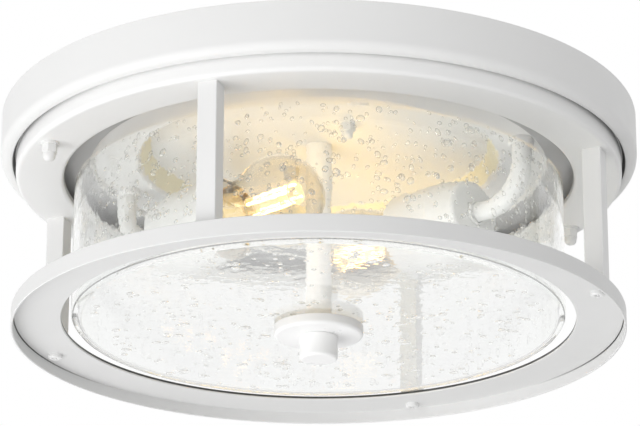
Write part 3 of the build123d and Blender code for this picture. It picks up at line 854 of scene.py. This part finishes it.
# %% [markdown]
# ## Bulbs
# A bulb is a pressed brass screw cap, a blown globe, a glass stand and four glowing strips. The cap's
# thread is a helix: its radius rises and falls with the distance along the lamp less the angle, so one
# formula of two parameters gives the whole screw.

# %% Screw caps
cap_tip, cap_mouth = 52.0, 83.0
cap_foot = np.array([(cap_tip, 0), (cap_tip, 4.0), (cap_tip + 0.6, 4.5),
                     (53.5, 4.5), (54.2, 6.0), (57.5, 12.4)])
cap_rim = np.array([(79.0, 13.1), (cap_mouth, 14.4), (cap_mouth, 13.8),
                    (79.0, 12.5), (56.0, 12.0), (54.6, 0)])
thread_start, thread_end, thread_fade, thread_steps = 58.5, 78.0, 2, 70
thread_radius, thread_depth, thread_pitch = 12.75, 0.35, 3.63


def cap_shape(side, sides=64):
    """Cap with a rolled thread: radius + depth cos(2 pi distance / pitch - angle), faded at both ends."""
    base, direction, across = lamp_frame(side)
    up = np.cross(direction, across)
    angle = np.linspace(0, 2 * np.pi, sides, endpoint=False)[None, :]
    along = np.linspace(thread_start, thread_end, thread_steps)[:, None]
    fade = np.clip((along - thread_start) / thread_fade, 0, 1)
    fade = fade * np.clip((thread_end - along) / thread_fade, 0, 1)
    thread = thread_radius + thread_depth * fade * np.cos(2 * np.pi * along / thread_pitch - angle)
    all_round = np.ones(sides)
    distance = np.concatenate([cap_foot[:, :1], along, cap_rim[:, :1]]) * all_round
    radius = np.concatenate([cap_foot[:, 1:] * all_round, thread, cap_rim[:, 1:] * all_round])
    spoke = np.cos(angle)[..., None] * across + np.sin(angle)[..., None] * up
    points = base + distance[..., None] * direction + radius[..., None] * spoke
    return points.reshape(-1, 3), grid_faces(len(distance), sides, False, True)


for side in lamp_sides:
    piece(f"screw_cap_{side}", cap_shape(side), f"bulb_{side}", brass, [f"bulb_cap_{side}"])

# %% Globes, stands and filaments
globe_middle, globe_radius, neck_start, neck_radius, globe_wall = 114.0, 22.5, 80.0, 12.3, 0.8


def globe_line(inset, count=60):
    """Half outline of the globe: a straight neck cone that touches a circle, then the arc to the nose."""
    radius, neck = globe_radius - inset, neck_radius - inset
    reach = globe_middle - neck_start
    meet = np.pi - np.arctan2(neck, reach) - np.arccos(radius / np.hypot(reach, neck))
    angle = np.linspace(meet, 0, count)
    arc = np.stack([globe_middle + radius * np.cos(angle), radius * np.sin(angle)], axis=1)
    return np.concatenate([[[neck_start, neck]], arc])


stand_line = np.array([
    (80, 0), (80, 11.2), (81, 11.2), (84, 6.5), (87, 3.2), (89, 2.0), (94.2, 2.0), (94.2, 6.2), (95, 6.2),
    (95, 2.0), (123.7, 2.0), (123.7, 6.2), (124.5, 6.2), (124.5, 0)])
strip_line = np.array([(0, 95.0), (0.7, 95.0), (0.9, 95.3), (0.9, 123.4), (0.7, 123.7), (0, 123.7)])
strip_angles = np.radians([0, 90, 180, 270])
strip_circle, strip_sides, stand_sides = 5.0, 12, 32


def strip_shapes(side):
    """Four slim rods beside the stand, each a turned section with rounded ends."""
    base, direction, across = lamp_frame(side)
    up = np.cross(direction, across)
    feet = [base + strip_circle * (np.cos(a) * across + np.sin(a) * up) for a in strip_angles]
    return joined(*[turned(strip_line, strip_sides, foot, direction, across, False) for foot in feet])


globe_loop = np.concatenate([globe_line(0), globe_line(globe_wall)[::-1]])
for side in lamp_sides:
    body = f"bulb_{side}"
    piece(f"globe_{side}", on_lamp(globe_loop, side), body,
          bulb_glass, [f"bulb_envelope_{side}"])
    piece(f"glass_stand_{side}", on_lamp(stand_line, side, stand_sides, False), body,
          mount_glass, [f"filament_mount_{side}"])
    piece(f"glow_strips_{side}", strip_shapes(side), body,
          filament_glow, [f"filaments_{side}"])

# %% [markdown]
# ## The pieces that stay as modelled
# Square posts, nuts, washers and the bracket are already the right shape, so they only take a finish. Each
# goes by the slot that the record gives it.

# %% Finishes for the rest
finish_of_slot = {
    "white_paint": white_paint, "zinc_steel": zinc_steel, "brass": brass, "green_screw": green_dye,
    "white_phenolic": white_moulding, "gasket": gasket_rubber, "seeded_glass": seeded_glass,
    "bulb_glass": bulb_glass, "mount_glass": mount_glass, "filament": filament_glow,
}
for entry in frame["record"]["subparts"]:
    node = frame["nodes"][entry["node"]]
    node.data.materials.clear()
    node.data.materials.append(finish_of_slot[entry["material_slot"]])

# %% [markdown]
# ## Light and room
# A pale floor below, a white surround, one broad soft lamp on the left and three cards that lift the
# undersides and the front. The surround looks white to the camera, to mirrors and to glass, but lights the
# paint at a plainer level, so white keeps its shading. The floor is lifted for the camera in the same way,
# and it is open from below, so that a low camera looks up through it. The soft lamps don't show in mirrors,
# where they would wash out the underside of the glass.
# Two small warm lamps sit in the globes and look up into the pan, because the strips alone are too thin to
# fill the drum.

# %% Surround
fill_level, full_white = 0.54, grey(1.0)


def seen_by_camera(tree, *kinds):
    """Mask of rays of the named kinds that have met no dull surface since they left the camera."""
    path = add_node(tree, "ShaderNodeLightPath").outputs
    clear = reckon(tree, "LESS_THAN", path["Diffuse Depth"], 0.5)
    mask = path[kinds[0]]
    for kind in kinds[1:]:
        mask = reckon(tree, "MAXIMUM", mask, path[kind])
    return reckon(tree, "MULTIPLY", mask, clear)


world = bpy.data.worlds.new("studio")
bpy.context.scene.world = world
world.use_nodes = True
tree = world.node_tree
tree.nodes.clear()
seen = seen_by_camera(tree, "Is Camera Ray", "Is Glossy Ray", "Is Transmission Ray")
fill = add_node(tree, "ShaderNodeBackground", Color=full_white, Strength=fill_level).outputs[0]
white = add_node(tree, "ShaderNodeBackground", Color=full_white, Strength=1.0).outputs[0]
add_node(tree, "ShaderNodeOutputWorld", Surface=mix_shaders(tree, seen, fill, white))
print("surround fills at", fill_level)

# %% Floor
floor_height, floor_reach, floor_lift = -1.4, 6.0, 0.42


def white_to_mirrors(tree, paper):
    """Shader that rays from a mirror or a glass skin see as plain white, like the surround."""
    mirrored = seen_by_camera(tree, "Is Glossy Ray", "Is Transmission Ray")
    white = add_node(tree, "ShaderNodeEmission", Color=full_white, Strength=1.0).outputs[0]
    return mix_shaders(tree, mirrored, paper, white)


def paler_to_camera(tree, paper, lift):
    """Shader with an even lift that only the camera sees: its shadows stay, and the lift lights nothing."""
    path = add_node(tree, "ShaderNodeLightPath").outputs
    veil = add_node(tree, "ShaderNodeEmission", Color=full_white, Strength=lift).outputs[0]
    both = add_node(tree, "ShaderNodeAddShader", paper, veil).outputs[0]
    return mix_shaders(tree, path["Is Camera Ray"], paper, both)


def open_from_below(tree, paper):
    """Shader with nothing on its back."""
    side = add_node(tree, "ShaderNodeNewGeometry").outputs
    nothing = add_node(tree, "ShaderNodeBsdfTransparent").outputs[0]
    return mix_shaders(tree, side["Backfacing"], paper, nothing)


floor_paper = painted("floor_paper", (grey(0.84), grey(0.87)), (0.8, 0.9), 0.05)
tree = floor_paper.node_tree
shown = white_to_mirrors(tree, tree.nodes["Principled BSDF"].outputs["BSDF"])
shown = open_from_below(tree, paler_to_camera(tree, shown, floor_lift))
dress(tree, tree.nodes["Material Output"], Surface=shown)

floor_corners = floor_reach * np.array([[-1, -1, 0], [1, -1, 0], [1, 1, 0], [-1, 1, 0]])
floor_mesh = bpy.data.meshes.new("studio_floor")
floor_mesh.from_pydata((floor_corners + [0, 0, floor_height]).tolist(), [], [[0, 1, 2, 3]])
floor_mesh.materials.append(floor_paper)
studio_floor = bpy.data.objects.new("studio_floor", floor_mesh)
bpy.context.scene.collection.objects.link(studio_floor)
print("floor at", floor_height, "m")


# %% Soft lamps
def soft_lamp(name, place, aim, size, power):
    """Square area lamp at a place, turned so that it faces a point, and not seen in mirrors."""
    light = bpy.data.lights.new(name, "AREA")
    light.size = size
    light.energy = power
    lamp = bpy.data.objects.new(name, light)
    back = np.asarray(place, float) - np.asarray(aim, float)
    back /= np.linalg.norm(back)
    side = np.cross([0, 0, 1], back)
    side /= np.linalg.norm(side)
    pose = np.eye(4)
    pose[:3, 0], pose[:3, 1], pose[:3, 2], pose[:3, 3] = side, np.cross(back, side), back, place
    lamp.matrix_world = pose.T
    lamp.visible_glossy = False
    bpy.context.scene.collection.objects.link(lamp)


middle = np.array([0, 0, -0.06])
soft_lamps = (      # metres towards the camera, to the right and down, then size and power
    ("key_left", 1.1, -1.5, 0.6, 1.2, 7.4),
    ("card_low_left", 0.4, -1.5, 1.1, 1.0, 6.2),
    ("card_below", 0.3, -0.5, 1.3, 1.6, 11.8),
    ("card_front", 1.7, 0.2, 0.2, 1.2, 6.2),
)
for name, nearer, right, down, size, power in soft_lamps:
    soft_lamp(name, nearer * towards_camera + right * rightward - [0, 0, down], middle, size, power)
print("soft lamps", [row[0] for row in soft_lamps])

# %% Warm lamps in the globes
globe_power = {"right": 0.1, "left": 0.045}
globe_warmth = (1.0, 0.6, 0.02)
globe_spread, globe_blend, glow_radius = np.radians(132.0), 0.5, 0.008
glow_drop = np.array([0, 0, -8.0])
for side in lamp_sides:
    base, direction, _ = lamp_frame(side)
    glow = bpy.data.lights.new(f"globe_light_{side}", "SPOT")
    glow.energy = globe_power[side]
    glow.color = globe_warmth
    glow.shadow_soft_size = glow_radius
    glow.spot_size = globe_spread
    glow.spot_blend = globe_blend
    lamp = bpy.data.objects.new(f"globe_light_{side}", glow)
    lamp.location = (base + globe_middle * direction + glow_drop) * mm
    lamp.rotation_euler = (np.pi, 0, 0)
    bpy.context.scene.collection.objects.link(lamp)
print("warm lamps in", list(globe_power))

# %% [markdown]
# ## Finish
# The render keeps plain colours, with the Standard view transform.

# %% View transform
bpy.context.scene.view_settings.view_transform = "Standard"
